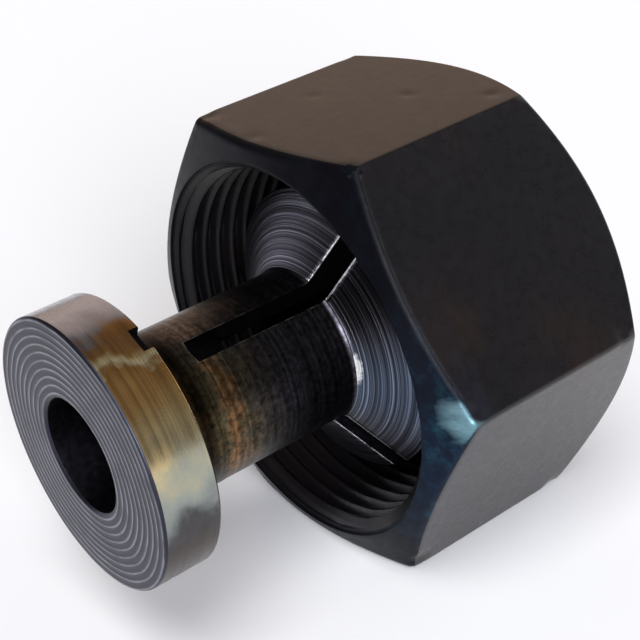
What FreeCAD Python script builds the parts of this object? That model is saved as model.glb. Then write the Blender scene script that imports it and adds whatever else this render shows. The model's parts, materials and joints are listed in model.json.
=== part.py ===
import FreeCAD, Part
import math
import os

import Sketcher
from FreeCAD import Placement, Rotation, Vector

# A slit collet held captive in its hexagonal clamping nut.
# The common axis is Y. The open face of the nut is at Y = 0 and its closed face looks to +Y,
# the tail ring of the collet stands out to -Y, and two wrench flats lie level, at +Z and -Z.

doc = FreeCAD.newDocument("collet_and_nut")
sheet = doc.addObject("Spreadsheet::Sheet", "Sizes")

# Lengths in millimetres, angles in degrees.
sizes = [
    # nut, outside
    ("across_flats", 30.0),
    ("nut_length", 17.9),
    ("face_bevel", 24.0),       # slope of the conical open face
    ("flat_edge_radius", 0.4),  # rounding of the six long edges
    ("mouth_dia", 27.6),        # wide end of the countersink in the open face
    ("rear_bevel", 40.0),       # slope of the turned corner relief at the closed end
    ("rear_land_dia", 29.6),    # flat land left on the closed face
    # nut, inside
    ("thread_dia", 27.0),
    ("thread_pitch", 1.25),
    ("runout_width", 1.8),      # groove where the threading tool runs out
    ("runout_depth", 0.2),      # its depth below the thread's full diameter
    ("seat_dia", 22.4),         # wide end of the conical seat
    ("hole_dia", 15.2),
    ("hole_length", 1.1),
    ("recess_dia", 17.4),       # recess in the closed face, for the collet's lip
    ("recess_depth", 2.0),
    # collet
    ("shank_dia", 8.0),
    ("ring_dia", 19.0),
    ("ring_width", 4.2),
    ("ring_chamfer", 0.15),
    ("neck_dia", 11.2),
    ("neck_length", 13.8),
    ("undercut_width", 1.3),
    ("undercut_depth", 0.3),
    ("cone_angle", 60.0),       # from the axis to the side of the front cone
    ("head_dia", 21.0),
    ("head_width", 7.35),
    ("lip_dia", 16.4),
    ("lip_inset", 0.3),         # end of the collet below the closed face of the nut
    ("lip_chamfer", 0.4),
    ("bore_chamfer", 0.15),
    # slits, and the disc saw that cuts them
    ("slit_count", 3),
    ("slit_width", 1.8),
    ("slit_angle", 61.5),       # first slit, turned from +X towards +Z
    ("slit_land", 3.6),         # unslit neck next to the ring
    ("saw_dia", 40.0),
    ("saw_depth", 3.2),         # how far the saw goes below the neck's surface
    # both pieces
    ("seat_angle", 45.0),       # from the axis to the side of the seat
    ("seat_gap", 0.15),
    ("hole_gap", 0.1),
]
for row, (alias, value) in enumerate(sizes, start=1):
    sheet.set("A%d" % row, alias)
    sheet.set("B%d" % row, str(value))
    sheet.setAlias("B%d" % row, alias)
doc.recompute()


def add_body(name):
    body = doc.addObject("PartDesign::Body", name)
    body.Label = name
    return body


def add_sketch(body, name, role):
    """Start a sketch on the body's own origin plane of that role."""
    sketch = body.newObject("Sketcher::SketchObject", name)
    plane = [feature for feature in body.Origin.OriginFeatures if feature.Role == role][0]
    sketch.AttachmentSupport = [(plane, "")]
    sketch.MapMode = "FlatFace"
    return sketch


def number(rule):
    """Work out an expression over the sheet's cells."""
    return float(sheet.evalExpression(rule))


def bind(sketch, constraint, rule):
    index = sketch.addConstraint(constraint)
    sketch.setExpression("Constraints[%d]" % index, rule)


def hold_point(sketch, edge, end, across, along):
    """Fix an end of an edge by two expressions, its distances from the sketch's origin."""
    for kind, axis, rule in (("DistanceX", -2, across), ("DistanceY", -1, along)):
        if rule == "0":
            sketch.addConstraint(Sketcher.Constraint("PointOnObject", edge, end, axis))
        else:
            bind(sketch, Sketcher.Constraint(kind, -1, 1, edge, end, number(rule)), rule)


def draw_outline(sketch, corners):
    """Draw a closed outline of straight edges through corners given as pairs of expressions."""
    spots = [Vector(number(across), number(along), 0) for across, along in corners]
    for index, spot in enumerate(spots):
        sketch.addGeometry(Part.LineSegment(spot, spots[(index + 1) % len(spots)]), False)
    for index, (across, along) in enumerate(corners):
        sketch.addConstraint(Sketcher.Constraint("Coincident", index - 1 if index else len(spots) - 1, 2, index, 1))
        hold_point(sketch, index, 1, across, along)


def turn(body, kind, name, sketch):
    """Revolve a sketch about the body's Y axis, as a Revolution or as a Groove."""
    feature = body.newObject(kind, name)
    feature.Profile = sketch
    feature.ReferenceAxis = (sketch, ["V_Axis"])
    feature.Angle = 360
    sketch.Visibility = False
    return feature


# The nut's sizes along its axis, from the open face.
minor_radius = "(Sizes.thread_dia / 2 - 0.5413 * Sizes.thread_pitch)"
recess_floor = "(Sizes.nut_length - Sizes.recess_depth)"
seat_end = "(%s - Sizes.hole_length)" % recess_floor
seat_depth = "((Sizes.seat_dia - Sizes.hole_dia) / 2 / tan(Sizes.seat_angle))"
seat_start = "(%s - %s)" % (seat_end, seat_depth)
thread_end = "(%s - Sizes.runout_width)" % seat_start
corner_radius = "(Sizes.across_flats / sqrt(3))"


def make_nut():
    nut = add_body("collet_nut")

    hexagon = add_sketch(nut, "hexagon", "XZ_Plane")
    radius = number(corner_radius)
    corners = [Vector(radius * math.cos(k * math.pi / 3), radius * math.sin(k * math.pi / 3), 0) for k in range(6)]
    for k in range(6):
        hexagon.addGeometry(Part.LineSegment(corners[k], corners[(k + 1) % 6]), False)
    round_it = hexagon.addGeometry(Part.Circle(Vector(0, 0, 0), Vector(0, 0, 1), radius), True)
    for k in range(6):
        hexagon.addConstraint(Sketcher.Constraint("Coincident", k, 2, (k + 1) % 6, 1))
        hexagon.addConstraint(Sketcher.Constraint("PointOnObject", k, 1, round_it))
    for k in range(5):
        hexagon.addConstraint(Sketcher.Constraint("Equal", k, k + 1))
    hexagon.addConstraint(Sketcher.Constraint("Coincident", round_it, 3, -1, 1))
    hexagon.addConstraint(Sketcher.Constraint("PointOnObject", 0, 1, -1))
    bind(hexagon, Sketcher.Constraint("Radius", round_it, radius), corner_radius)
    bar = nut.newObject("PartDesign::Pad", "hexagon_bar")
    bar.Profile = hexagon
    bar.Reversed = True
    bar.setExpression("Length", "Sizes.nut_length")
    doc.recompute()
    long_edges = []
    for index, edge in enumerate(bar.Shape.Edges, start=1):
        if abs(edge.tangentAt(edge.FirstParameter).y) > 0.99:
            long_edges.append("Edge%d" % index)
    rounding = nut.newObject("PartDesign::Fillet", "long_edge_rounding")
    rounding.Base = (bar, long_edges)
    rounding.setExpression("Radius", "Sizes.flat_edge_radius")

    # Both ends are turned: the corners are cut back by a cone, which leaves an arc on every flat.
    clear_radius = "(%s + 1)" % corner_radius
    face = add_sketch(nut, "face_bevel_profile", "XY_Plane")
    draw_outline(face, [
        ("Sizes.mouth_dia / 2", "0"),
        (clear_radius, "0"),
        (clear_radius, "(%s - Sizes.mouth_dia / 2) * tan(Sizes.face_bevel)" % clear_radius),
    ])
    turn(nut, "PartDesign::Groove", "face_bevel_cut", face)
    rear = add_sketch(nut, "rear_bevel_profile", "XY_Plane")
    draw_outline(rear, [
        ("Sizes.rear_land_dia / 2", "Sizes.nut_length"),
        (clear_radius, "Sizes.nut_length"),
        (clear_radius, "Sizes.nut_length - (%s - Sizes.rear_land_dia / 2) * tan(Sizes.rear_bevel)" % clear_radius),
    ])
    turn(nut, "PartDesign::Groove", "rear_bevel_cut", rear)

    # The inside is turned in one setting: countersink, thread bore, run-out groove, seat, hole and lip recess.
    inside = add_sketch(nut, "inside_profile", "XY_Plane")
    draw_outline(inside, [
        ("0", "0"),
        ("Sizes.mouth_dia / 2", "0"),
        (minor_radius, "Sizes.mouth_dia / 2 - %s" % minor_radius),
        (minor_radius, thread_end),
        ("Sizes.thread_dia / 2 + Sizes.runout_depth", thread_end),
        ("Sizes.thread_dia / 2 + Sizes.runout_depth", seat_start),
        ("Sizes.seat_dia / 2", seat_start),
        ("Sizes.hole_dia / 2", seat_end),
        ("Sizes.hole_dia / 2", recess_floor),
        ("Sizes.recess_dia / 2", recess_floor),
        ("Sizes.recess_dia / 2", "Sizes.nut_length"),
        ("0", "Sizes.nut_length"),
    ])
    turn(nut, "PartDesign::Groove", "inside_cut", inside)
    return nut


# The collet's sizes along its axis, from the front face of its ring.
ring_radius = "(Sizes.ring_dia / 2)"
neck_radius = "(Sizes.neck_dia / 2)"
head_radius = "(Sizes.head_dia / 2)"
stub_radius = "(Sizes.hole_dia / 2 - Sizes.hole_gap)"
cone_start = "(Sizes.ring_width + Sizes.neck_length)"
cone_end = "(%s + (%s - %s) / tan(Sizes.cone_angle))" % (cone_start, head_radius, neck_radius)
taper_start = "(%s + Sizes.head_width)" % cone_end
taper_end = "(%s + (%s - %s) / tan(Sizes.seat_angle))" % (taper_start, head_radius, stub_radius)

# The rear taper stands one seat gap off the nut's seat, and that sets where the collet sits on the axis.
seat_at_head = "(%s + (Sizes.seat_dia / 2 - %s) / tan(Sizes.seat_angle))" % (seat_start, head_radius)
collet_shift = "(%s - Sizes.seat_gap / sin(Sizes.seat_angle) - %s)" % (seat_at_head, taper_start)
lip_start = "(%s + Sizes.seat_gap - %s)" % (recess_floor, collet_shift)
collet_end = "(Sizes.nut_length - Sizes.lip_inset - %s)" % collet_shift


def make_collet():
    collet = add_body("collet")

    blank = add_sketch(collet, "blank_profile", "XY_Plane")
    bore_radius = "(Sizes.shank_dia / 2)"
    chamfered_bore = "(%s + Sizes.bore_chamfer)" % bore_radius
    undercut_radius = "(%s - Sizes.undercut_depth)" % neck_radius
    draw_outline(blank, [
        (chamfered_bore, "0"),
        ("%s - Sizes.ring_chamfer" % ring_radius, "0"),
        (ring_radius, "Sizes.ring_chamfer"),
        (ring_radius, "Sizes.ring_width - Sizes.ring_chamfer"),
        ("%s - Sizes.ring_chamfer" % ring_radius, "Sizes.ring_width"),
        (undercut_radius, "Sizes.ring_width"),
        (undercut_radius, "Sizes.ring_width + Sizes.undercut_width"),
        (neck_radius, "Sizes.ring_width + Sizes.undercut_width + Sizes.undercut_depth"),
        (neck_radius, cone_start),
        (head_radius, cone_end),
        (head_radius, taper_start),
        (stub_radius, taper_end),
        (stub_radius, lip_start),
        ("Sizes.lip_dia / 2", lip_start),
        ("Sizes.lip_dia / 2", "%s - Sizes.lip_chamfer" % collet_end),
        ("Sizes.lip_dia / 2 - Sizes.lip_chamfer", collet_end),
        (chamfered_bore, collet_end),
        (bore_radius, "%s - Sizes.bore_chamfer" % collet_end),
        (bore_radius, "Sizes.bore_chamfer"),
    ])
    turn(collet, "PartDesign::Revolution", "turned_blank", blank)

    # A disc saw enters at the head and stops short of the ring, so each slit ends in the saw's own arc.
    # The rim of the saw just reaches the back edge of the ring and leaves a nick there.
    saw_radius = "(Sizes.saw_dia / 2)"
    slit_floor = "(%s - Sizes.saw_depth)" % neck_radius
    saw_centre = "(%s + %s)" % (slit_floor, saw_radius)
    reach = "sqrt(%s ^ 2 - (%s - %s) ^ 2)" % (saw_radius, saw_centre, neck_radius)
    saw_stop = "(Sizes.ring_width + Sizes.slit_land + %s)" % reach
    slit_top = "(max(%s; %s) + 1)" % (head_radius, ring_radius)
    slit_end = "(%s + 1)" % collet_end

    path = add_sketch(collet, "saw_path", "XY_Plane")
    centre = Vector(number(saw_centre), number(saw_stop), 0)
    circle = Part.Circle(centre, Vector(0, 0, 1), number(saw_radius))
    rise = math.acos((number(saw_centre) - number(slit_top)) / number(saw_radius))
    rim = path.addGeometry(Part.ArcOfCircle(circle, math.pi, math.pi + rise), False)
    hold_point(path, rim, 3, saw_centre, saw_stop)
    bind(path, Sketcher.Constraint("Radius", rim, number(saw_radius)), saw_radius)
    bind(path, Sketcher.Constraint("DistanceY", -1, 1, rim, 1, number(saw_stop)), saw_stop)
    bind(path, Sketcher.Constraint("DistanceX", -1, 1, rim, 2, number(slit_top)), slit_top)
    ends = [
        (slit_top, None),
        (slit_top, slit_end),
        (slit_floor, slit_end),
        (slit_floor, saw_stop),
    ]
    top_start = Vector(number(slit_top), centre.y - number(saw_radius) * math.sin(rise), 0)
    spots = [top_start] + [Vector(number(across), number(along), 0) for across, along in ends[1:]]
    for index in range(3):
        path.addGeometry(Part.LineSegment(spots[index], spots[index + 1]), False)
    path.addConstraint(Sketcher.Constraint("Coincident", rim, 2, 1, 1))
    path.addConstraint(Sketcher.Constraint("Coincident", 1, 2, 2, 1))
    path.addConstraint(Sketcher.Constraint("Coincident", 2, 2, 3, 1))
    path.addConstraint(Sketcher.Constraint("Coincident", 3, 2, rim, 1))
    hold_point(path, 2, 1, slit_top, slit_end)
    hold_point(path, 3, 1, slit_floor, slit_end)

    slit = collet.newObject("PartDesign::Pocket", "slit")
    slit.Profile = path
    slit.Midplane = True
    slit.setExpression("Length", "Sizes.slit_width")
    slits = collet.newObject("PartDesign::PolarPattern", "slits")
    slits.Originals = [slit]
    slits.Axis = (path, ["V_Axis"])
    slits.Angle = 360
    slits.setExpression("Occurrences", "Sizes.slit_count")
    collet.Tip = slits

    collet.Placement = Placement(Vector(0, 0, 0), Rotation(Vector(0, -1, 0), 1))
    collet.setExpression("Placement.Base.y", collet_shift)
    collet.setExpression("Placement.Rotation.Angle", "Sizes.slit_angle")
    return collet


pieces = [make_nut(), make_collet()]
doc.recompute()

for thing in doc.Objects:
    if "Invalid" in thing.State or "Error" in thing.State:
        raise RuntimeError("%s failed: %s" % (thing.Name, thing.State))
os.makedirs("parts", exist_ok=True)
for piece in pieces:
    shape = piece.Shape
    if shape.isNull() or not shape.isValid() or len(shape.Solids) != 1:
        raise RuntimeError("%s is not one valid solid" % piece.Label)
    shape.exportStep("parts/%s.step" % piece.Label)
    box = shape.BoundBox
    print("%-12s %9.1f mm3  X %.2f..%.2f  Y %.2f..%.2f  Z %.2f..%.2f" % (
        piece.Label, shape.Volume, box.XMin, box.XMax, box.YMin, box.YMax, box.ZMin, box.ZMax))
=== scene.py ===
import json
import math

import bpy
import numpy as np
from mathutils import Matrix, Vector

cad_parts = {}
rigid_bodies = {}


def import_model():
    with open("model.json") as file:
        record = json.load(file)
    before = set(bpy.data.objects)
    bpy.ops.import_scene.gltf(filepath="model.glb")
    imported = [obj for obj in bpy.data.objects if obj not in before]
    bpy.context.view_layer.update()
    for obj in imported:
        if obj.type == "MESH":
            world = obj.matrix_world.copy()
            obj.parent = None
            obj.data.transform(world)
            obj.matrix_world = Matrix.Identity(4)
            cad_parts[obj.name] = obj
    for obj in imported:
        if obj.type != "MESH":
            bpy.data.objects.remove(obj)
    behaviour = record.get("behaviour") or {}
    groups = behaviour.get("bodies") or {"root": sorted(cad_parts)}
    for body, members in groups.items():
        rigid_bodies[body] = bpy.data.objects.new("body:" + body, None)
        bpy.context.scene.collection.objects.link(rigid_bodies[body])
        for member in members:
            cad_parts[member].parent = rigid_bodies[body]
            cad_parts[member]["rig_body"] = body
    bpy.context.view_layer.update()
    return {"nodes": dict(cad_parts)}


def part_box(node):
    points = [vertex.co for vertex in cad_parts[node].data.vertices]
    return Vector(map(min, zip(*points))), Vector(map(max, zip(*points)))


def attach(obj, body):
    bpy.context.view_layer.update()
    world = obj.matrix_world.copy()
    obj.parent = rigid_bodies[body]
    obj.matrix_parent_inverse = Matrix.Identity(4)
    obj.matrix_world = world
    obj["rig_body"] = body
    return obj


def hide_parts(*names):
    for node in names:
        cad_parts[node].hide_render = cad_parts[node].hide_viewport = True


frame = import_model()
print("frame loaded:", sorted(frame["nodes"]))
mm = 0.001  # sizes below are in millimetres, but for the floor's

# ---------- camera, floor and light ----------

cameraSet = {
    "aim": (0.795, 2.686, 1.659),  # near the middle of the mouth of the nut
    "azimuth": 56.04,  # degrees, turned from the view along +Y
    "elevation": 26.9,
    "roll": 9.37,  # the camera leans clockwise
    "distance": 103.99,
    "lens": 85.56,
    "sensor": 36.0,
}

lightSet = {
    # each lamp's side, its apparent width in degrees, its light in W/m2 and its colour
    "overhead": {"from": (0.34, -0.30, 0.89), "wide": 36, "light": 1.95, "colour": "#ffffff"},
    "rightLamp": {"from": (0.84, -0.42, 0.38), "wide": 28, "light": 3.9, "colour": "#f6f8ff"},
    "backCard": {"from": (-0.74, 0.50, 0.45), "wide": 50, "light": 0.28, "colour": "#ffd8bc"},
    "leftCard": {"from": (-0.88, -0.46, 0.10), "wide": 22, "light": 0.26, "colour": "#f0f0ff"},
    "rearFill": {"from": (0.12, 0.95, 0.28), "wide": 40, "light": 0.8, "colour": "#ffffff"},
    "room": "#85817e",  # what the part sees all round
    "roomStrength": 0.42,
    "backdrop": "#fafafb",  # what the camera sees past the floor
    "floor": "#ebebed",
    "floorHalf": 8.0,  # half the floor's side, in metres
}


def toLinear(code):
    # an sRGB hex colour turned to the linear values that a shader works in: value / 12.92 near black, and from
    # there up ((value + 0.055) / 1.055) to the power of 2.4
    parts = np.array([int(code[i:i + 2], 16) for i in (1, 3, 5)]) / 255
    linear = np.where(parts <= 0.04045, parts / 12.92, ((parts + 0.055) / 1.055) ** 2.4)
    return tuple(float(v) for v in linear) + (1.0,)


def addNode(tree, kind, props=None, values=None, links=None, stops=None):
    # one node of any kind: its properties, its fixed values, its links, and a ramp's stops
    node = tree.nodes.new(kind)
    for key, value in (props or {}).items():
        setattr(node, key, value)
    for key, value in (values or {}).items():
        node.inputs[key].default_value = value
    for key, source in (links or {}).items():
        tree.links.new(source, node.inputs[key])
    if stops:
        ramp = node.color_ramp
        while len(ramp.elements) < len(stops):
            ramp.elements.new(0.5)
        for element, (place, code) in zip(ramp.elements, stops):
            element.position = place
            element.color = toLinear(code)
    return node


def startMaterial(name):
    # an empty node tree with its output, its main shader and the piece's own coordinates in millimetres
    material = bpy.data.materials.new(name)
    material.use_nodes = True
    tree = material.node_tree
    tree.nodes.clear()
    output = addNode(tree, "ShaderNodeOutputMaterial")
    shader = addNode(tree, "ShaderNodeBsdfPrincipled")
    tree.links.new(shader.outputs[0], output.inputs["Surface"])
    spot = addNode(tree, "ShaderNodeTexCoord")
    inMm = addNode(tree, "ShaderNodeVectorMath", {"operation": "SCALE"}, {"Scale": 1000.0},
                   {0: spot.outputs["Object"]})
    return material, tree, shader, inMm.outputs[0]


def placeCamera(s):
    # a camera on a sphere round its aim point, then turned about its own line of sight: it stands at
    # aim + distance x (sin a cos e, -cos a cos e, sin e) for azimuth a and elevation e
    a, e, roll = (math.radians(s[k]) for k in ("azimuth", "elevation", "roll"))
    back = np.array([math.sin(a) * math.cos(e), -math.cos(a) * math.cos(e), math.sin(e)])
    level = np.cross([0, 0, 1], back)
    level /= np.linalg.norm(level)
    upright = np.cross(back, level)
    right = math.cos(roll) * level - math.sin(roll) * upright
    up = math.sin(roll) * level + math.cos(roll) * upright
    data = bpy.data.cameras.new("camera")
    data.lens = s["lens"]
    data.sensor_width = s["sensor"]
    data.clip_start = 5 * mm
    camera = bpy.data.objects.new("camera", data)
    bpy.context.scene.collection.objects.link(camera)
    place = np.eye(4)
    place[:3, 0], place[:3, 1], place[:3, 2] = right, up, back
    place[:3, 3] = (np.array(s["aim"]) + back * s["distance"]) * mm
    camera.matrix_world = Matrix(place.tolist())
    bpy.context.scene.camera = camera


def placeLamp(name, s):
    # a soft lamp so far off that the whole floor gets the same light
    data = bpy.data.lights.new(name, "SUN")
    data.angle = math.radians(s["wide"])
    data.energy = s["light"]
    data.color = toLinear(s["colour"])[:3]
    lamp = bpy.data.objects.new(name, data)
    bpy.context.scene.collection.objects.link(lamp)
    lamp.rotation_euler = Vector(s["from"]).to_track_quat("Z", "Y").to_euler()


def layFloor():
    # a wide flat floor that the nut's lower flat stands on
    low = min(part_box(name)[0].z for name in frame["nodes"])
    half = lightSet["floorHalf"]
    mesh = bpy.data.meshes.new("floor")
    corners = [(-half, -half, low), (half, -half, low), (half, half, low), (-half, half, low)]
    mesh.from_pydata(corners, [], [(0, 1, 2, 3)])
    floor = bpy.data.objects.new("floor", mesh)
    bpy.context.scene.collection.objects.link(floor)
    material, _, shader, _ = startMaterial("matt_paint_floor")  # a flat paint, so it gives no reflection
    shader.inputs["Base Color"].default_value = toLinear(lightSet["floor"])
    shader.inputs["Roughness"].default_value = 0.9
    shader.inputs["Specular IOR Level"].default_value = 0.1
    mesh.materials.append(material)


scene = bpy.context.scene
scene.view_settings.view_transform = "Standard"
world = bpy.data.worlds.new("room")
scene.world = world
world.use_nodes = True
# the room lights the part from all round; the camera sees a pale backdrop in its place
room = world.node_tree.nodes["Background"]
room.inputs["Color"].default_value = toLinear(lightSet["room"])
room.inputs["Strength"].default_value = lightSet["roomStrength"]
backdrop = addNode(world.node_tree, "ShaderNodeBackground", None, {"Color": toLinear(lightSet["backdrop"])})
path = addNode(world.node_tree, "ShaderNodeLightPath")
seen = addNode(world.node_tree, "ShaderNodeMixShader", None, None,
               {0: path.outputs["Is Camera Ray"], 1: room.outputs[0], 2: backdrop.outputs[0]})
world.node_tree.links.new(seen.outputs[0], world.node_tree.nodes["World Output"].inputs["Surface"])
placeCamera(cameraSet)
for lampName in ("overhead", "rightLamp", "backCard", "leftCard", "rearFill"):
    placeLamp(lampName, lightSet[lampName])
layFloor()
print("camera, floor and lamps placed")

# ---------- surfaces ----------


def cutCorners(corners, soft, steps, runs):
    # a closed outline whose corners are small parabolas, (1 - t)^2 x start + 2 t (1 - t) x corner + t^2 x end: each
    # starts and ends the soft length from its corner, and the straight run after corner i is divided into runs[i]
    # parts; corners is (n, 2, columns), a radius and a place along the axis for every column round the axis
    rows = []
    n = len(corners)
    for i in range(n):
        here, before, after = corners[i], corners[i - 1], corners[(i + 1) % n]
        toBefore = before - here
        toAfter = after - here
        startPoint = here + toBefore / np.linalg.norm(toBefore, axis=0) * soft[i]
        endPoint = here + toAfter / np.linalg.norm(toAfter, axis=0) * soft[i]
        t = np.linspace(0, 1, steps + 1)[:, None, None] if soft[i] > 0 else np.zeros((1, 1, 1))
        rows.append((1 - t) ** 2 * startPoint + 2 * t * (1 - t) * here + t ** 2 * endPoint)
        nextStart = after + (here - after) / np.linalg.norm(here - after, axis=0) * soft[(i + 1) % n]
        if runs[i] > 1:
            u = np.linspace(0, 1, runs[i] + 1)[1:-1, None, None]
            rows.append(endPoint * (1 - u) + nextStart * u)
    return np.concatenate(rows)


def sweepRound(name, radius, along, angles):
    # a closed outline carried round the Y axis: point (r, y) at angle a stands at (r cos a, y, r sin a);
    # where the volume under the faces comes out negative they face inwards, so they are turned round
    rows, columns = radius.shape
    points = np.stack([radius * np.cos(angles), along, radius * np.sin(angles)], axis=2).reshape(-1, 3)
    i, j = np.meshgrid(np.arange(rows), np.arange(columns), indexing="ij")
    nextRow, nextColumn = (i + 1) % rows, (j + 1) % columns
    here, below = i * columns, nextRow * columns
    faces = np.stack([here + j, below + j, below + nextColumn, here + nextColumn], axis=2).reshape(-1, 4)
    a, b, c, d = (points[faces[:, k]] for k in range(4))
    volume = np.einsum("ij,ij->i", a, np.cross(b, c)).sum() + np.einsum("ij,ij->i", a, np.cross(c, d)).sum()
    if volume < 0:
        faces = faces[:, ::-1]
    return makeMesh(name, points, faces)


def makeMesh(name, points, faces):
    # points in millimetres and four-sided faces put into a new object at the origin
    mesh = bpy.data.meshes.new(name)
    mesh.from_pydata((points * mm).tolist(), [], faces.tolist())
    mesh.update()
    thing = bpy.data.objects.new(name, mesh)
    bpy.context.scene.collection.objects.link(thing)
    return thing


def faceFacts(mesh):
    # the middle of every face in millimetres, and its normal
    count = len(mesh.polygons)
    centre, normal = np.zeros(count * 3), np.zeros(count * 3)
    mesh.polygons.foreach_get("center", centre)
    mesh.polygons.foreach_get("normal", normal)
    return centre.reshape(-1, 3) / mm, normal.reshape(-1, 3)


def shadeSmooth(mesh, degrees):
    # smooth faces, with every edge sharper than the angle kept crisp
    mesh.polygons.foreach_set("use_smooth", np.ones(len(mesh.polygons), bool))
    mesh.set_sharp_from_angle(angle=math.radians(degrees))


# ---------- the nut ----------

nutSet = {
    "flat": 15.0,  # from the axis to a flat
    "cornerRound": 0.4,
    "faceBevel": 24.0,  # slopes of the two ends' bevels, in degrees
    "rearBevel": 40.0,
    # places along the axis, from the open face
    "threadStart": 0.12,
    "threadEnd": 9.4,
    "seatStart": 11.2,
    "seatEnd": 14.8,
    "recessFloor": 15.9,
    "length": 17.9,
    # radii: the open face's inner edge, the closed face's outer edge, the thread, the groove behind it, the seat's
    # wide end, the hole and the closed face's recess
    "mouth": 13.8,
    "rearLand": 14.8,
    "threadCrest": 12.823,
    "threadRoot": 13.5,
    "runOut": 13.7,
    "seat": 11.2,
    "hole": 7.6,
    "recess": 8.7,
    "pitch": 1.25,
    "threadFlat": 0.12,  # share of half a pitch that is flat at the crest, and at the root
    # softening of the outline's corners, from the mouth round the outside to the thread, and the parts of the run
    # after each
    "soft": [0.15, 0.6, 0.11, 0.1, 0.12, 0.05, 0.1, 0.1, 0.05, 0.05, 0.08, 0],
    "softSteps": 4,
    "runs": [8, 78, 6, 6, 4, 3, 3, 10, 4, 4, 2, 1],
    "columnsPerFlat": 48,
    "rowsPerPitch": 16,
    "crisp": 24,  # edges sharper than this many degrees stay crisp
    # angle, place along the axis, width and depth of each knock
    "knocks": [(96, 1.5, 0.6, 0.08), (118, 2.2, 0.7, 0.16), (61, 1.5, 0.7, 0.2), (2, 2.0, 0.7, 0.16),
               (-57, 1.8, 0.8, 0.2), (106, 8.6, 0.45, 0.07), (84, 12.1, 0.5, 0.09), (66, 15.0, 0.55, 0.12),
               (180, 2.0, 0.8, 0.18), (238, 14.5, 0.7, 0.18), (1, 14.9, 0.6, 0.12), (150, 9.0, 0.5, 0.06),
               (215, 6.0, 0.6, 0.07), (300, 15.2, 0.7, 0.16), (122, 15.0, 0.6, 0.12)],
    # how far wear reaches from the long edges and from the turned rims, the level there, and its reach across and
    # along from the six corners of each end; only points past the outside radius have long edges
    "wear": {"edge": 0.35, "rim": 0.2, "level": 0.36, "tipAcross": 0.7, "tipAlong": 0.9, "outside": 14.3},
    # the one corner that is rubbed most, worn bare and painted as a highlight: its angle, radius and place along the
    # axis, the reach and the level of its wear and painted highlight, and how fast that fades past the bevel's edge
    "rubbedTipHighlight": {"angle": 1.0, "out": 16.7, "along": 1.15, "reach": 1.7, "level": 1.4, "fade": 0.2},
    # the bluish film on the open face's bevel, partly a painted blue reflection: the angle where it is thickest, how
    # wide that is, its thickness elsewhere, and how far back and how far inside the mouth's edge it goes
    "filmAndReflection": {"angle": -15.0, "wide": 30.0, "thin": 0.06, "deep": 3.2, "inside": 0.3},
}


def hexRadius(s, turn):
    # distance from the axis to a hexagon's side, flat / cos(angle from the middle of the flat), with round corners,
    # and how far along its side the nearest corner is
    fromFlat = np.degrees(turn) % 60 - 30
    plain = s["flat"] / np.cos(np.radians(fromFlat))
    centre = (s["flat"] - s["cornerRound"]) / math.cos(math.pi / 6)
    off = np.radians(30 - np.abs(fromFlat))
    root = s["cornerRound"] ** 2 - (centre * np.sin(off)) ** 2
    rounded = centre * np.cos(off) + np.sqrt(np.maximum(root, 0))
    across = s["flat"] * np.tan(np.radians(np.abs(fromFlat)))
    halfSide = s["flat"] * math.tan(math.pi / 6)
    tangent = halfSide - s["cornerRound"] * math.tan(math.pi / 6)
    return np.where(across > tangent, rounded, plain), halfSide - across


def gapTo(radius, along, angles, place):
    # straight distance from every point to one place, both given by radius, place along the axis and angle
    out, far, turn = place
    aside = radius * np.cos(angles) - out * math.cos(turn)
    above = radius * np.sin(angles) - out * math.sin(turn)
    return np.sqrt(aside ** 2 + above ** 2 + (along - far) ** 2)


def nutWear(s, radius, along, angles, outer, toCorner, frontEdge, rearEdge):
    # two values for every point: wear with the painted highlight on the rubbed corner, which falls off from the edges
    # as e to the power of -(distance / reach), and the bluish film's thickness, partly a painted blue reflection, a
    # bell curve of the angle on the open face's bevel
    w, tip, f = s["wear"], s["rubbedTipHighlight"], s["filmAndReflection"]
    farOff = 9.0
    gapEdge = np.where(radius > w["outside"], toCorner, farOff)
    gapFront = np.hypot(radius - outer, along - frontEdge)
    gapRear = np.hypot(radius - outer, along - rearEdge)
    gapMouth = np.hypot(radius - s["mouth"], along)
    tips = np.exp(-gapEdge / w["tipAcross"]) * np.exp(-np.minimum(gapFront, gapRear) / w["tipAlong"])
    rims = np.exp(-np.minimum(gapRear, gapMouth) / w["rim"])
    edge = np.maximum(tips, np.maximum(rims, np.exp(-gapEdge / w["edge"])) * w["level"])
    # the rubbed corner: worn bare, and painted as a highlight that fades past the bevel's edge
    gapTip = gapTo(radius, along, angles, (tip["out"], tip["along"], math.radians(tip["angle"])))
    offBevel = np.maximum(along - frontEdge - 0.1, 0)
    edge = np.maximum(edge, tip["level"] * np.exp(-(gapTip / tip["reach"]) ** 2 - offBevel / tip["fade"]))
    # the film is thickest at one angle, where it also stands in for a painted blue reflection
    fromThick = (np.degrees(angles) - f["angle"] + 180) % 360 - 180
    onBevel = (along < f["deep"]) & (radius > s["mouth"] - f["inside"])
    filmAndReflection = (f["thin"] + (1 - f["thin"]) * np.exp(-(fromThick / f["wide"]) ** 2)) * onBevel
    return edge, filmAndReflection


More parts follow.
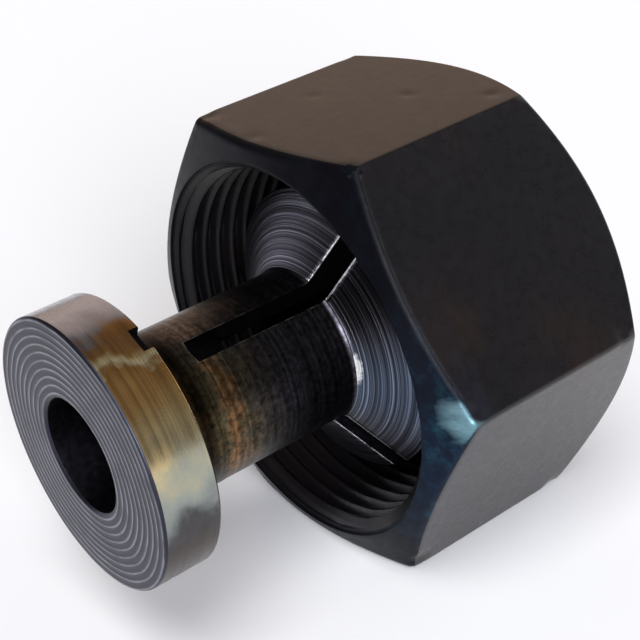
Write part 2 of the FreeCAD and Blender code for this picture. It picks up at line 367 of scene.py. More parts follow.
def makeNut(s):
    # a hexagon bar with turned ends and a turned, threaded inside, as one closed outline carried round the axis; a
    # bevel's place along the axis is the radius past its small end x the tangent of its slope
    u = np.linspace(-1, 1, s["columnsPerFlat"] + 1)[:-1]
    inFlat = 30 * (0.25 * u + 0.75 * np.sin(u * math.pi / 2))  # closer together at the corners
    angles = np.radians(np.concatenate([inFlat + 30 + 60 * k for k in range(6)]))
    outer, toCorner = hexRadius(s, angles)
    one = np.ones_like(angles)
    frontEdge = (outer - s["mouth"]) * math.tan(math.radians(s["faceBevel"]))
    rearEdge = s["length"] - (outer - s["rearLand"]) * math.tan(math.radians(s["rearBevel"]))
    corners = np.array([
        (s["mouth"] * one, 0 * one),
        (outer, frontEdge),
        (outer, rearEdge),
        (s["rearLand"] * one, s["length"] * one),
        (s["recess"] * one, s["length"] * one),
        (s["recess"] * one, s["recessFloor"] * one),
        (s["hole"] * one, s["recessFloor"] * one),
        (s["hole"] * one, s["seatEnd"] * one),
        (s["seat"] * one, s["seatStart"] * one),
        (s["runOut"] * one, s["seatStart"] * one),
        (s["runOut"] * one, s["threadEnd"] * one),
        (s["threadCrest"] * one, s["threadEnd"] * one),
    ])
    body = cutCorners(corners, s["soft"], s["softSteps"], s["runs"])[:-1]  # the thread takes the last point's place
    # the thread: a groove whose depth follows the place along the axis plus one pitch a turn, opened by the
    # countersink; its flanks are half a straight line and half an S curve, 3 d^2 - 2 d^3
    count = int(s["threadEnd"] / s["pitch"] * s["rowsPerPitch"])
    y = np.linspace(s["threadEnd"], s["threadStart"], count)[:, None]
    phase = (y / s["pitch"] + angles / (2 * math.pi)) % 1
    groove = np.clip((np.abs(2 * phase - 1) - s["threadFlat"]) / (1 - 2 * s["threadFlat"]), 0, 1)
    groove = 0.5 * groove + 0.5 * groove ** 2 * (3 - 2 * groove)
    thread = s["threadCrest"] + (s["threadRoot"] - s["threadCrest"]) * groove
    thread = np.maximum(thread, s["mouth"] - y)
    radius = np.concatenate([body[:, 0], thread])
    along = np.concatenate([body[:, 1], y * one])
    # knocks: at each place a hollow towards the axis, its depth a bell curve of the distance
    for angle, place, width, depth in s["knocks"]:
        a = math.radians(angle)
        reach = float(hexRadius(s, np.array([a]))[0][0])
        gap = gapTo(radius, along, angles, (reach, place, a))
        radius = radius - depth * np.exp(-(gap / width) ** 2)
    nut = sweepRound("nut_shell", radius, along, angles)
    edge, filmAndReflection = nutWear(s, radius, along, angles, outer, toCorner, frontEdge, rearEdge)
    # kept on the points: the wear with the painted highlight on the rubbed corner, and the film with its painted blue
    # reflection
    for markName, marks in (("edgeWearAndHighlight", edge), ("bluedAndReflection", filmAndReflection)):
        mark = nut.data.attributes.new(markName, "FLOAT", "POINT")
        mark.data.foreach_set("value", marks.reshape(-1).astype(np.float32))
    shadeSmooth(nut.data, s["crisp"])
    # finish of each face: 0 the flats, 1 turned outside faces, 2 the thread and the rest of the inside, which is
    # painted darker as shade
    centre, normal = faceFacts(nut.data)
    out = np.hypot(centre[:, 0], centre[:, 2])
    inside = (out < s["mouth"] - 0.03) & (centre[:, 1] < s["recessFloor"]) & (centre[:, 1] > 0.2)  # not the lip
    kinds = np.where(inside, 2, np.where((np.abs(normal[:, 1]) < 0.2) & (out > s["mouth"] + 0.5), 0, 1))
    nut.data.polygons.foreach_set("material_index", kinds.astype(np.int32))
    print("nut:", len(radius), "x", len(angles), "points")
    return nut


def roundAxis(tree, spot, fine):
    # radius and angle about the Y axis, place along it, and turning marks that run round it, 1 / fine mm wide
    parts = addNode(tree, "ShaderNodeSeparateXYZ", None, None, {0: spot})
    flat = addNode(tree, "ShaderNodeCombineXYZ", None, None, {"X": parts.outputs["X"], "Z": parts.outputs["Z"]})
    radius = addNode(tree, "ShaderNodeVectorMath", {"operation": "LENGTH"}, None,
                     {0: flat.outputs[0]}).outputs["Value"]
    angle = addNode(tree, "ShaderNodeMath", {"operation": "ARCTAN2"}, None,
                    {0: parts.outputs["Z"], 1: parts.outputs["X"]}).outputs[0]
    read = addNode(tree, "ShaderNodeCombineXYZ", None, None, {"X": radius, "Y": parts.outputs["Y"]})
    marks = addNode(tree, "ShaderNodeTexNoise", None, {"Scale": fine, "Detail": 4.0, "Roughness": 0.6},
                    {"Vector": read.outputs[0]})
    return radius, angle, parts.outputs["Y"], marks.outputs[0]


# finishes of the nut, all from one hot salt bath: each has the tints of its clouds and of its film, which on the
# bevel is partly a painted blue reflection, its least and most roughness, its shine at the open end and at the closed
# end, and the strength of its grain and of its turning marks
oxideSet = {
    # ground flats: a smooth satin black that has aged a little brown
    "black_oxide_ground_flats": {
        "dark": [(0.34, "#0c0b0e"), (0.5, "#0f0d0f"), (0.66, "#17110f")],
        "filmAndReflection": [(0.4, "#0e0d12"), (0.65, "#12141d")],
        "rough": (0.25, 0.33), "shine": (0.47, 0.47), "grain": 0.3, "turned": 0.0},
    # turned ends: rougher, so duller, with a thicker film that looks blue to teal, partly a painted blue reflection
    "black_oxide_turned_ends": {
        "dark": [(0.34, "#060508"), (0.5, "#080709"), (0.66, "#0d0b0e")],
        "filmAndReflection": [(0.28, "#080a12"), (0.5, "#0b1727"), (0.74, "#173a47")],
        "rough": (0.32, 0.42), "shine": (0.06, 0.45), "grain": 0.3, "turned": 0.5},
    # inside the thread, where oil stays: nearly black, darkened further as painted shade, with a thin gleam
    # along each ridge
    "black_oxide_oiled_thread_painted_shade": {
        "dark": [(0.34, "#070709"), (0.5, "#0a090c"), (0.66, "#100d0e")],
        "filmAndReflection": [(0.4, "#08080b"), (0.65, "#0d0f16")],
        "rough": (0.26, 0.36), "shine": (0.2, 0.2), "grain": 0.3, "turned": 0.0},
}


def oxideMaterial(name, s):
    # clouds 8 mm wide (a scale of 0.13 per mm), a film in patches of 2 mm where the nut is blued, partly a painted
    # blue reflection, a grain of 0.7 mm, and bare metal where it is worn: grey, or pale teal under the film, which on
    # the rubbed corner is a painted highlight
    material, tree, shader, spot = startMaterial(name)
    cloud = addNode(tree, "ShaderNodeTexNoise", None, {"Scale": 0.13, "Detail": 4.0}, {"Vector": spot})
    grain = addNode(tree, "ShaderNodeTexNoise", None, {"Scale": 1.5, "Detail": 6.0, "Roughness": 0.62},
                    {"Vector": spot})
    patch = addNode(tree, "ShaderNodeTexNoise", None, {"Scale": 0.55, "Detail": 5.0, "Roughness": 0.7},
                    {"Vector": spot})
    base = addNode(tree, "ShaderNodeValToRGB", None, None, {"Fac": cloud.outputs[0]}, s["dark"])
    over = addNode(tree, "ShaderNodeValToRGB", None, None, {"Fac": patch.outputs[0]}, s["filmAndReflection"])
    bluedAndReflection = addNode(tree, "ShaderNodeAttribute", {"attribute_name": "bluedAndReflection"})
    # the film, partly a painted blue reflection, laid over the clouds where the bevel is blued
    coat = addNode(tree, "ShaderNodeMix", {"data_type": "RGBA"}, None,
                   {0: bluedAndReflection.outputs["Fac"], 6: base.outputs[0], 7: over.outputs[0]})
    # the wear and the painted highlight on the rubbed corner break up into strokes 1 mm wide and 3 mm long
    wear = addNode(tree, "ShaderNodeAttribute", {"attribute_name": "edgeWearAndHighlight"})
    drawn = addNode(tree, "ShaderNodeVectorMath", {"operation": "MULTIPLY"}, {1: (0.35, 1.0, 1.5)}, {0: spot})
    strokes = addNode(tree, "ShaderNodeTexNoise", None, {"Scale": 0.9, "Detail": 4.0, "Roughness": 0.55},
                      {"Vector": drawn.outputs[0]})
    amount = addNode(tree, "ShaderNodeMath", {"operation": "MULTIPLY"}, None,
                     {0: wear.outputs["Fac"], 1: strokes.outputs[0]})
    metalAndHighlight = addNode(tree, "ShaderNodeMapRange", None, {"From Min": 0.18, "From Max": 0.9},
                     {"Value": amount.outputs[0]})
    # grey bare metal, or pale teal under the film, which on the rubbed corner is a painted highlight
    metal = addNode(tree, "ShaderNodeMix", {"data_type": "RGBA"}, {6: toLinear("#5b5a5d"), 7: toLinear("#80adb9")},
                    {0: bluedAndReflection.outputs["Fac"]})
    colour = addNode(tree, "ShaderNodeMix", {"data_type": "RGBA"}, None,
                     {0: metalAndHighlight.outputs[0], 6: coat.outputs[2], 7: metal.outputs[2]})
    tree.links.new(colour.outputs[2], shader.inputs["Base Color"])
    tree.links.new(metalAndHighlight.outputs[0], shader.inputs["Metallic"])
    low, high = s["rough"]
    roughness = addNode(tree, "ShaderNodeMapRange", None,
                        {"From Min": 0.3, "From Max": 0.7, "To Min": low, "To Max": high}, {"Value": grain.outputs[0]})
    tree.links.new(roughness.outputs[0], shader.inputs["Roughness"])
    # the shine goes from the open end's to the closed end's between 6 and 12 mm along the axis
    parts = addNode(tree, "ShaderNodeSeparateXYZ", None, None, {0: spot})
    front, rear = s["shine"]
    shine = addNode(tree, "ShaderNodeMapRange", None,
                    {"From Min": 6.0, "From Max": 12.0, "To Min": front, "To Max": rear},
                    {"Value": parts.outputs["Y"]})
    tree.links.new(shine.outputs[0], shader.inputs["Specular IOR Level"])
    bump = addNode(tree, "ShaderNodeBump", None, {"Strength": s["grain"], "Distance": 0.02 * mm},
                   {"Height": grain.outputs[0]})
    if s["turned"]:
        _, _, _, marks = roundAxis(tree, spot, 2.6)
        bump = addNode(tree, "ShaderNodeBump", None, {"Strength": s["turned"], "Distance": 0.04 * mm},
                       {"Height": marks, "Normal": bump.outputs[0]})
    tree.links.new(bump.outputs[0], shader.inputs["Normal"])
    return material


nutShell = makeNut(nutSet)
for finishName, finish in oxideSet.items():
    nutShell.data.materials.append(oxideMaterial(finishName, finish))
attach(nutShell, frame["nodes"]["collet_nut"]["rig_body"])
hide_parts("collet_nut")

# ---------- the collet ----------

colletSet = {
    "start": -16.491,  # where the ring's front face stands on the axis
    "outline": [  # radius and distance from the ring's front face
        (4.15, 0), (9.35, 0), (9.5, 0.15), (9.5, 4.05), (9.35, 4.2), (5.3, 4.2), (5.3, 5.5), (5.6, 5.8), (5.6, 18.0),
        (10.5, 20.829), (10.5, 28.179), (7.5, 31.179), (7.5, 32.541), (8.2, 32.541), (8.2, 33.691), (7.8, 34.091),
        (4.15, 34.091), (4.0, 33.941), (4.0, 0.15)],
    # softening of the outline's corners, and the parts of the run after each
    "soft": [0.06, 0.06, 0.06, 0.06, 0.06, 0.1, 0.05, 0.05, 0.35, 0.12, 0.12, 0.1, 0.05,
             0.05, 0.05, 0.05, 0.05, 0.05, 0.05],
    "softSteps": 3,
    "runs": [12, 1, 8, 1, 6, 2, 1, 20, 10, 10, 5, 2, 1, 2, 1, 5, 1, 40, 1],
    "columns": 264,
    "crisp": 26,  # edges sharper than this many degrees stay crisp
    # the slots: the radius that each is cut down to, and the saw's radius and where it stopped; the cutting outline
    # goes on past the head and past the rear end
    "slitAngles": (61.5, 181.5, 301.5),
    "slitWidth": 1.8,
    "slitFloor": 2.4,
    "sawRadius": 20.0,
    "sawStop": 18.652,
    "sawSteps": 40,
    "slitTop": 11.5,
    "slitEnd": 35.1,
    # the finishes' bounds, as distances from the ring's front face: its face, the ring's end, the cone's start
    "faceEnd": 0.2,
    "ringEnd": 4.25,
    "coneStart": 18.0,
    "bore": 4.0,
    # places along the axis: where the slots come through the neck, where the shade by the ring fades, and from
    # where to where the stains run
    "slitOpen": -8.7,
    "shade": (-9.9, -8.9),
    "stains": (-12.4, 1.6),
    # angles in degrees of the cone's bluish film, partly a painted blue reflection, and of its painted shade
    "filmReflectionAngle": -12,
    "paintedShadeAngle": 39,
}


def makeCollet(s):
    # a turned outline carried round the axis, then cut by three flat slots that end in a disc saw's arc: out from the
    # slot's floor by saw's radius x (1 - cos t), and forward from its stop by saw's radius x sin t
    angles = np.linspace(0, 2 * math.pi, s["columns"], endpoint=False)
    one = np.ones_like(angles)
    corners = np.array([(r * one, (y + s["start"]) * one) for r, y in s["outline"]])
    rows = cutCorners(corners, s["soft"], s["softSteps"], s["runs"])
    collet = sweepRound("collet_blank", rows[:, 0], rows[:, 1], angles)
    # the saw's outline: the arc, then square to the rear end
    t = np.linspace(0, math.acos((s["slitFloor"] + s["sawRadius"] - s["slitTop"]) / s["sawRadius"]), s["sawSteps"])
    arcOut = s["slitFloor"] + s["sawRadius"] * (1 - np.cos(t))
    arcAlong = s["sawStop"] - s["sawRadius"] * np.sin(t)
    out = np.concatenate([arcOut, [s["slitTop"], s["slitFloor"]]])
    along = np.concatenate([arcAlong, [s["slitEnd"], s["slitEnd"]]]) + s["start"]
    n = len(out)
    points, faces = [], []
    for k, angle in enumerate(s["slitAngles"]):
        a = math.radians(angle)
        for side in (-1, 1):
            shift = side * s["slitWidth"] / 2
            aside, above = out * math.cos(a) - shift * math.sin(a), out * math.sin(a) + shift * math.cos(a)
            points.append(np.stack([aside, along, above], axis=1))
        first = 2 * n * k
        ring = np.arange(n)
        here, ahead = first + ring, first + (ring + 1) % n
        faces += np.stack([here, ahead, ahead + n, here + n], axis=1).tolist()
        faces += [(first + ring[::-1]).tolist(), (first + n + ring).tolist()]
    mesh = bpy.data.meshes.new("saw")
    mesh.from_pydata((np.concatenate(points) * mm).tolist(), [], faces)
    saw = bpy.data.objects.new("saw", mesh)
    bpy.context.scene.collection.objects.link(saw)
    cut = collet.modifiers.new("slits", "BOOLEAN")
    cut.operation = "DIFFERENCE"
    cut.solver = "EXACT"
    cut.object = saw
    bpy.context.view_layer.update()
    shaped = collet.evaluated_get(bpy.context.evaluated_depsgraph_get())
    result = bpy.data.meshes.new_from_object(shaped)
    collet.modifiers.clear()
    collet.data = result
    collet.name = "collet_turned"
    result.name = "collet_turned"
    bpy.data.objects.remove(saw)
    shadeSmooth(result, s["crisp"])
    print("collet:", len(result.polygons), "faces after the slits")
    return collet


def rimMaterial():
    # tool steel, turned and polished on the rim: bright, with straw and bronze tints down one side, partly temper
    # colour and partly a painted warm reflection, painted reflections of the shade under the part low on that side,
    # and a thin painted highlight streak
    material, tree, shader, spot = startMaterial("polished_turned_steel")
    _, angle, _, marks = roundAxis(tree, spot, 3.0)
    # the tints follow the angle, as a share of a turn from -X; the edges of the bands wander by a few degrees, in
    # waves 2.5 mm long
    cloud = addNode(tree, "ShaderNodeTexNoise", None, {"Scale": 0.4, "Detail": 3.0, "Roughness": 0.5},
                    {"Vector": spot})
    shifted = addNode(tree, "ShaderNodeMath", {"operation": "MULTIPLY_ADD"}, {1: 0.11, 2: -0.055},
                      {0: cloud.outputs[0]})
    turn = addNode(tree, "ShaderNodeMath", {"operation": "MULTIPLY_ADD"}, {1: 0.5 / math.pi, 2: 0.5}, {0: angle})
    place = addNode(tree, "ShaderNodeMath", {"operation": "ADD"}, None, {0: turn.outputs[0], 1: shifted.outputs[0]})
    # painted reflections round the rim: a brown end and a dark band low on one side stand for the shade under the
    # part, pale silver steel above them, then the straw and bronze tints with a thin painted highlight streak from
    # 0.656 to 0.664, and a bluish grey top
    tint = addNode(tree, "ShaderNodeValToRGB", None, None, {"Fac": place.outputs[0]},
                   [(0.0, "#8f8d8a"), (0.12, "#a39a8c"), (0.24, "#7d7166"), (0.36, "#463b33"), (0.42, "#48403c"),
                    (0.462, "#505052"), (0.486, "#8a8f8c"), (0.505, "#9aa098"), (0.535, "#b4b096"),
                    (0.565, "#e6cf9a"), (0.61, "#d0a468"), (0.646, "#b98a52"), (0.656, "#fff0c4"),
                    (0.664, "#ffeab4"), (0.674, "#c08c54"), (0.692, "#b68c60"), (0.712, "#a3a8b4"),
                    (0.76, "#c4cde0"), (0.85, "#a09688"), (0.92, "#b59a6e"), (1.0, "#8f8d8a")])
    tree.links.new(tint.outputs[0], shader.inputs["Base Color"])
    shader.inputs["Metallic"].default_value = 1.0
    rough = addNode(tree, "ShaderNodeMapRange", None,
                    {"From Min": 0.3, "From Max": 0.7, "To Min": 0.2, "To Max": 0.32}, {"Value": marks})
    tree.links.new(rough.outputs[0], shader.inputs["Roughness"])
    bump = addNode(tree, "ShaderNodeBump", None, {"Strength": 0.14, "Distance": 0.02 * mm}, {"Height": marks})
    tree.links.new(bump.outputs[0], shader.inputs["Normal"])
    return material


def faceMaterial():
    # the ring's face, turned and left: dull grey steel with the tool's light rings 0.55 mm apart, which sway over 6 mm
    # and break up over 1.5 mm; a ring's brightness is the sine of 2 pi x radius / 0.55
    material, tree, shader, spot = startMaterial("faced_grey_steel")
    radius, _, _, _ = roundAxis(tree, spot, 3.0)
    sway = addNode(tree, "ShaderNodeTexNoise", None, {"Scale": 0.16, "Detail": 2.0}, {"Vector": spot})
    offset = addNode(tree, "ShaderNodeMath", {"operation": "MULTIPLY_ADD"}, {1: 0.35},
                     {0: sway.outputs[0], 2: radius})
    wave = addNode(tree, "ShaderNodeMath", {"operation": "MULTIPLY"}, {1: 2 * math.pi / 0.55}, {0: offset.outputs[0]})
    ring = addNode(tree, "ShaderNodeMath", {"operation": "SINE"}, None, {0: wave.outputs[0]})
    broken = addNode(tree, "ShaderNodeTexNoise", None, {"Scale": 0.7, "Detail": 4.0}, {"Vector": spot})
    level = addNode(tree, "ShaderNodeMath", {"operation": "MULTIPLY_ADD"}, {1: 0.8, 2: -0.4}, {0: broken.outputs[0]})
    height = addNode(tree, "ShaderNodeMath", {"operation": "ADD"}, None, {0: ring.outputs[0], 1: level.outputs[0]})
    tint = addNode(tree, "ShaderNodeValToRGB", None, None, {"Fac": height.outputs[0]},
                   [(0.0, "#383943"), (0.5, "#3e3f49"), (0.85, "#6a6b76"), (1.0, "#878892")])
    tree.links.new(tint.outputs[0], shader.inputs["Base Color"])
    shader.inputs["Metallic"].default_value = 1.0
    shader.inputs["Roughness"].default_value = 0.42
    bump = addNode(tree, "ShaderNodeBump", None, {"Strength": 0.35, "Distance": 0.03 * mm},
                   {"Height": height.outputs[0]})
    tree.links.new(bump.outputs[0], shader.inputs["Normal"])
    return material


def neckMaterial():
    # the same steel left as heat-treated, with marks 0.3 mm wide: painted shade in the groove by the ring and just
    # behind it, then golden brown and olive patches of 2 mm on one side, partly heat tint and partly a painted warm
    # reflection, and grey-brown on the other, near-black towards the cone, a grain of 0.4 mm all over, and a pale
    # broken burr along each slot, partly a painted highlight
    material, tree, shader, spot = startMaterial("heat_stained_steel")
    radius, angle, along, marks = roundAxis(tree, spot, 3.0)
    cloud = addNode(tree, "ShaderNodeTexNoise", None, {"Scale": 0.5, "Detail": 5.0, "Roughness": 0.62},
                    {"Vector": spot})
    drift = addNode(tree, "ShaderNodeMath", {"operation": "MULTIPLY_ADD"}, {1: 6.0, 2: -3.0}, {0: cloud.outputs[0]})
    place = addNode(tree, "ShaderNodeMath", {"operation": "ADD"}, None, {0: along, 1: drift.outputs[0]})
    stainStart, stainEnd = colletSet["stains"]
    scaled = addNode(tree, "ShaderNodeMapRange", None, {"From Min": stainStart, "From Max": stainEnd},
                     {"Value": place.outputs[0]})
    gold = addNode(tree, "ShaderNodeValToRGB", None, None, {"Fac": scaled.outputs[0]},
                   [(0.0, "#33271f"), (0.08, "#523c29"), (0.15, "#645036"), (0.22, "#474434"), (0.3, "#644930"),
                    (0.38, "#443d30"), (0.48, "#35312e"), (0.66, "#302e33"), (1.0, "#312f34")])
    grey = addNode(tree, "ShaderNodeValToRGB", None, None, {"Fac": scaled.outputs[0]},
                   [(0.0, "#463c36"), (0.3, "#5b524b"), (0.5, "#3c3836"), (0.7, "#302e33"), (1.0, "#312f34")])
    # golden on one side, partly heat tint and partly a painted warm reflection, grey-brown on the other
    upper = addNode(tree, "ShaderNodeMapRange", {"interpolation_type": "SMOOTHSTEP"},
                    {"From Min": 0.75, "From Max": 1.25}, {"Value": angle})
    tint = addNode(tree, "ShaderNodeMix", {"data_type": "RGBA"}, None,
                   {0: upper.outputs[0], 6: gold.outputs[0], 7: grey.outputs[0]})
    # painted shade by the ring: dark up to the first of these places, fading out by the second
    shadeStart, shadeEnd = colletSet["shade"]
    ringShade = addNode(tree, "ShaderNodeMapRange", {"interpolation_type": "SMOOTHSTEP"},
                     {"From Min": shadeStart, "From Max": shadeEnd, "To Min": 0.12, "To Max": 1.0}, {"Value": along})
    streak = addNode(tree, "ShaderNodeMapRange", None,
                     {"From Min": 0.36, "From Max": 0.64, "To Min": 0.5, "To Max": 1.45}, {"Value": marks})
    grain = addNode(tree, "ShaderNodeTexNoise", None, {"Scale": 2.4, "Detail": 5.0, "Roughness": 0.7},
                    {"Vector": spot})
    speck = addNode(tree, "ShaderNodeMapRange", None,
                    {"From Min": 0.34, "From Max": 0.66, "To Min": 0.4, "To Max": 2.0}, {"Value": grain.outputs[0]})
    worn = addNode(tree, "ShaderNodeMath", {"operation": "MULTIPLY"}, None,
                   {0: speck.outputs[0], 1: streak.outputs[0]})
    shade = addNode(tree, "ShaderNodeMath", {"operation": "MULTIPLY"}, None,
                    {0: ringShade.outputs[0], 1: worn.outputs[0]})
    stained = addNode(tree, "ShaderNodeVectorMath", {"operation": "SCALE"}, None,
                      {0: tint.outputs[2], "Scale": shade.outputs[0]})
    # a pale broken burr along each slot, partly a painted highlight
    edge = slitEdge(tree, radius, angle, along, 0.16)
    beads = addNode(tree, "ShaderNodeTexNoise", None, {"Scale": 1.1, "Detail": 3.0}, {"Vector": spot})
    broken = addNode(tree, "ShaderNodeMath", {"operation": "MULTIPLY"}, None, {0: edge, 1: beads.outputs[0]})
    burrAndHighlight = addNode(tree, "ShaderNodeMapRange", None, {"From Min": 0.42, "From Max": 0.62, "To Max": 0.5},
                   {"Value": broken.outputs[0]})
    colour = addNode(tree, "ShaderNodeMix", {"data_type": "RGBA"}, {7: toLinear("#b5ab98")},
                     {0: burrAndHighlight.outputs[0], 6: stained.outputs[0]})
    tree.links.new(colour.outputs[2], shader.inputs["Base Color"])
    shader.inputs["Metallic"].default_value = 1.0
    shader.inputs["Roughness"].default_value = 0.34
    bump = addNode(tree, "ShaderNodeBump", None, {"Strength": 0.6, "Distance": 0.05 * mm}, {"Height": marks})
    tree.links.new(bump.outputs[0], shader.inputs["Normal"])
    return material


def slitEdge(tree, radius, angle, along, reach):
    # 1 at the slots' edges and 0 from the reach outwards, and 0 in front of where the slots come through the neck; the
    # gap to the nearest slot's middle plane is radius x the sine of the angle to it
    fromSlit = addNode(tree, "ShaderNodeMath", {"operation": "SUBTRACT"},
                       {1: math.radians(colletSet["slitAngles"][0])}, {0: angle})
    folded = addNode(tree, "ShaderNodeMath", {"operation": "WRAP"}, {1: math.pi / 3, 2: -math.pi / 3},
                     {0: fromSlit.outputs[0]})
    sine = addNode(tree, "ShaderNodeMath", {"operation": "SINE"}, None, {0: folded.outputs[0]})
    aside = addNode(tree, "ShaderNodeMath", {"operation": "ABSOLUTE"}, None, {0: sine.outputs[0]})
    gap = addNode(tree, "ShaderNodeMath", {"operation": "MULTIPLY"}, None, {0: aside.outputs[0], 1: radius})
    half = colletSet["slitWidth"] / 2
    near = addNode(tree, "ShaderNodeMapRange", {"interpolation_type": "SMOOTHSTEP"},
                   {"From Min": half + 0.02, "From Max": half + reach, "To Min": 1.0, "To Max": 0.0},
                   {"Value": gap.outputs[0]})
    opened = addNode(tree, "ShaderNodeMath", {"operation": "GREATER_THAN"}, {1: colletSet["slitOpen"]}, {0: along})
    return addNode(tree, "ShaderNodeMath", {"operation": "MULTIPLY"}, None,
                   {0: near.outputs[0], 1: opened.outputs[0]}).outputs[0]


def coneMaterial():
    # the head and its cone, turned and blackened by heat: dark grey with open tool marks 0.33 mm apart that catch the
    # light, a bluish film low on one side, partly a painted blue reflection, painted shade above it, a pale burr along
    # each slot that rounds its edge, partly a painted highlight, and a small painted glint where the cone meets the
    # neck
    material, tree, shader, spot = startMaterial("turned_grey_steel")
    radius, angle, along, marks = roundAxis(tree, spot, 7.0)
    wave = addNode(tree, "ShaderNodeMath", {"operation": "MULTIPLY"}, {1: 2 * math.pi / 0.33}, {0: radius})
    groove = addNode(tree, "ShaderNodeMath", {"operation": "SINE"}, None, {0: wave.outputs[0]})
    share = addNode(tree, "ShaderNodeMath", {"operation": "MULTIPLY_ADD"}, {1: 0.025},
                    {0: groove.outputs[0], 2: marks})
    tint = addNode(tree, "ShaderNodeValToRGB", None, None, {"Fac": share.outputs[0]},
                   [(0.36, "#2d2c32"), (0.5, "#47464e"), (0.66, "#8c8d97")])
    # the bluish film low on one side, partly a painted blue reflection
    fromFilmReflection = addNode(tree, "ShaderNodeMath", {"operation": "SUBTRACT"}, {1: math.radians(colletSet["filmReflectionAngle"])},
                       {0: angle})
    offFilmReflection = addNode(tree, "ShaderNodeMath", {"operation": "ABSOLUTE"}, None, {0: fromFilmReflection.outputs[0]})
    side = addNode(tree, "ShaderNodeMapRange", {"interpolation_type": "SMOOTHSTEP"},
                   {"From Min": 0.1, "From Max": 0.75, "To Min": 1.0, "To Max": 0.0}, {"Value": offFilmReflection.outputs[0]})
    filmAndReflection = addNode(tree, "ShaderNodeVectorMath", {"operation": "MULTIPLY"}, {1: (0.95, 1.2, 1.4)},
                   {0: tint.outputs[0]})
    bluish = addNode(tree, "ShaderNodeMix", {"data_type": "RGBA"}, None,
                     {0: side.outputs[0], 6: tint.outputs[0], 7: filmAndReflection.outputs[0]})
    # painted shade on one side of the cone, darkest at the angle given
    fromShade = addNode(tree, "ShaderNodeMath", {"operation": "SUBTRACT"}, {1: math.radians(colletSet["paintedShadeAngle"])},
                       {0: angle})
    offShade = addNode(tree, "ShaderNodeMath", {"operation": "ABSOLUTE"}, None, {0: fromShade.outputs[0]})
    light = addNode(tree, "ShaderNodeMapRange", {"interpolation_type": "SMOOTHSTEP"},
                    {"From Min": 0.1, "From Max": 0.5, "To Min": 0.42, "To Max": 1.0}, {"Value": offShade.outputs[0]})
    shaded = addNode(tree, "ShaderNodeVectorMath", {"operation": "SCALE"}, None,
                     {0: bluish.outputs[2], "Scale": light.outputs[0]})
    # a pale burr along each slot, partly a painted highlight
    edge = slitEdge(tree, radius, angle, along, 0.32)
    beads = addNode(tree, "ShaderNodeTexNoise", None, {"Scale": 1.5, "Detail": 3.0}, {"Vector": spot})
    broken = addNode(tree, "ShaderNodeMath", {"operation": "MULTIPLY"}, None, {0: edge, 1: beads.outputs[0]})
    burrAndHighlight = addNode(tree, "ShaderNodeMapRange", None, {"From Min": 0.3, "From Max": 0.42},
                   {"Value": broken.outputs[0]})
    # the painted glint: near angle 0, near the neck's radius, and not on the rear end
    middle = addNode(tree, "ShaderNodeMath", {"operation": "ABSOLUTE"}, None, {0: angle})
    front = addNode(tree, "ShaderNodeMapRange", {"interpolation_type": "SMOOTHSTEP"},
                    {"From Min": 0.05, "From Max": 0.34, "To Min": 1.0, "To Max": 0.0}, {"Value": middle.outputs[0]})
    foot = addNode(tree, "ShaderNodeMapRange", {"interpolation_type": "SMOOTHSTEP"},
                   {"From Min": 5.75, "From Max": 6.5, "To Min": 1.0, "To Max": 0.0}, {"Value": radius})
    frontFoot = addNode(tree, "ShaderNodeMath", {"operation": "MULTIPLY"}, None,
                        {0: front.outputs[0], 1: foot.outputs[0]})
    notRear = addNode(tree, "ShaderNodeMath", {"operation": "LESS_THAN"}, {1: 5.0}, {0: along})
    glint = addNode(tree, "ShaderNodeMath", {"operation": "MULTIPLY"}, None,
                    {0: frontFoot.outputs[0], 1: notRear.outputs[0]})
    ticks = addNode(tree, "ShaderNodeTexNoise", None, {"Scale": 2.6, "Detail": 3.0}, {"Vector": spot})
    ticked = addNode(tree, "ShaderNodeMath", {"operation": "MULTIPLY"}, None,
                     {0: glint.outputs[0], 1: ticks.outputs[0]})
    metalAndHighlight = addNode(tree, "ShaderNodeMapRange", None, {"From Min": 0.2, "From Max": 0.42},
                     {"Value": ticked.outputs[0]})
    burrAndGlint = addNode(tree, "ShaderNodeMath", {"operation": "MAXIMUM"}, None, {0: burrAndHighlight.outputs[0], 1: metalAndHighlight.outputs[0]})
    colour = addNode(tree, "ShaderNodeMix", {"data_type": "RGBA"}, {7: toLinear("#eef2f2")},
                     {0: burrAndGlint.outputs[0], 6: shaded.outputs[0]})
    tree.links.new(colour.outputs[2], shader.inputs["Base Color"])
    shader.inputs["Metallic"].default_value = 1.0
    shader.inputs["Roughness"].default_value = 0.32
    bump = addNode(tree, "ShaderNodeBump", None, {"Strength": 0.7, "Distance": 0.08 * mm},
                   {"Height": share.outputs[0]})
    turned = addNode(tree, "ShaderNodeBump", {"invert": True}, {"Strength": 1.0, "Distance": 0.25 * mm},
                     {"Height": edge, "Normal": bump.outputs[0]})
    tree.links.new(turned.outputs[0], shader.inputs["Normal"])
    return material


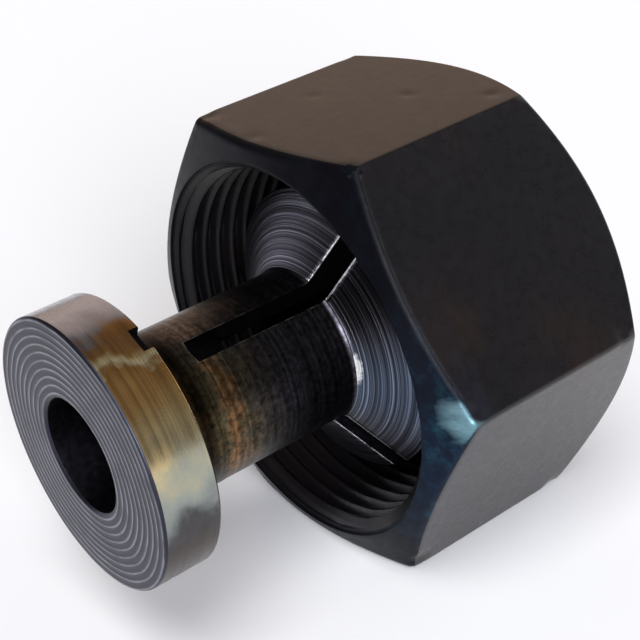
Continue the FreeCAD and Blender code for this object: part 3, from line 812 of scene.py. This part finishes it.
def slitMaterial():
    # sawn walls and the bore, never polished: steel with oil on it, painted dark as the shade inside the slots and the
    # bore
    material, tree, shader, spot = startMaterial("oiled_sawn_steel_painted_shade")
    grain = addNode(tree, "ShaderNodeTexNoise", None, {"Scale": 2.2, "Detail": 4.0}, {"Vector": spot})
    tint = addNode(tree, "ShaderNodeValToRGB", None, None, {"Fac": grain.outputs[0]},
                   [(0.35, "#121115"), (0.66, "#1e1d22"), (0.8, "#3a3a3f")])
    tree.links.new(tint.outputs[0], shader.inputs["Base Color"])
    shader.inputs["Metallic"].default_value = 1.0
    shader.inputs["Roughness"].default_value = 0.5
    return material


def colletKinds(mesh, s):
    # finish of each face: 0 the ring's rim, 1 its front face, 2 the neck, 3 the cone and head, 4 the saw's walls and
    # the bore; a face is sawn where it is within half a slot's width of a slot's middle plane, doesn't face straight
    # out, and either lies on the saw's circle or is square to both the axis and the way out
    centre, normal = faceFacts(mesh)
    behind = centre[:, 1] - s["start"]
    out = np.hypot(centre[:, 0], centre[:, 2])
    turns = np.radians(s["slitAngles"])[:, None]
    across = np.abs(centre[:, 2] * np.cos(turns) - centre[:, 0] * np.sin(turns))
    ahead = centre[:, 0] * np.cos(turns) + centre[:, 2] * np.sin(turns)
    beside = np.where(ahead > 0, across, 99).min(axis=0)
    fromHub = np.hypot(ahead.max(axis=0) - s["slitFloor"] - s["sawRadius"], behind - s["sawStop"])
    onArc = np.abs(fromHub - s["sawRadius"]) < 0.06
    outward = (centre[:, 0] * normal[:, 0] + centre[:, 2] * normal[:, 2]) / out
    flatWall = (np.abs(outward) < 0.45) & (np.abs(normal[:, 1]) < 0.02) & (behind > 3)
    sawn = (beside < s["slitWidth"] / 2 + 0.01) & (outward < 0.95) & (normal[:, 1] < 0.95) & (onArc | flatWall)
    kinds = np.where(behind < s["ringEnd"], 0, np.where(behind < s["coneStart"], 2, 3))
    kinds[behind < s["faceEnd"]] = 1
    kinds[sawn | (out < s["bore"] + 0.02)] = 4
    return kinds.astype(np.int32)


colletTurned = makeCollet(colletSet)
for finish in (rimMaterial(), faceMaterial(), neckMaterial(), coneMaterial(), slitMaterial()):
    colletTurned.data.materials.append(finish)
colletTurned.data.polygons.foreach_set("material_index", colletKinds(colletTurned.data, colletSet))
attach(colletTurned, frame["nodes"]["collet"]["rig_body"])
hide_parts("collet")
print("finishes laid on both pieces")
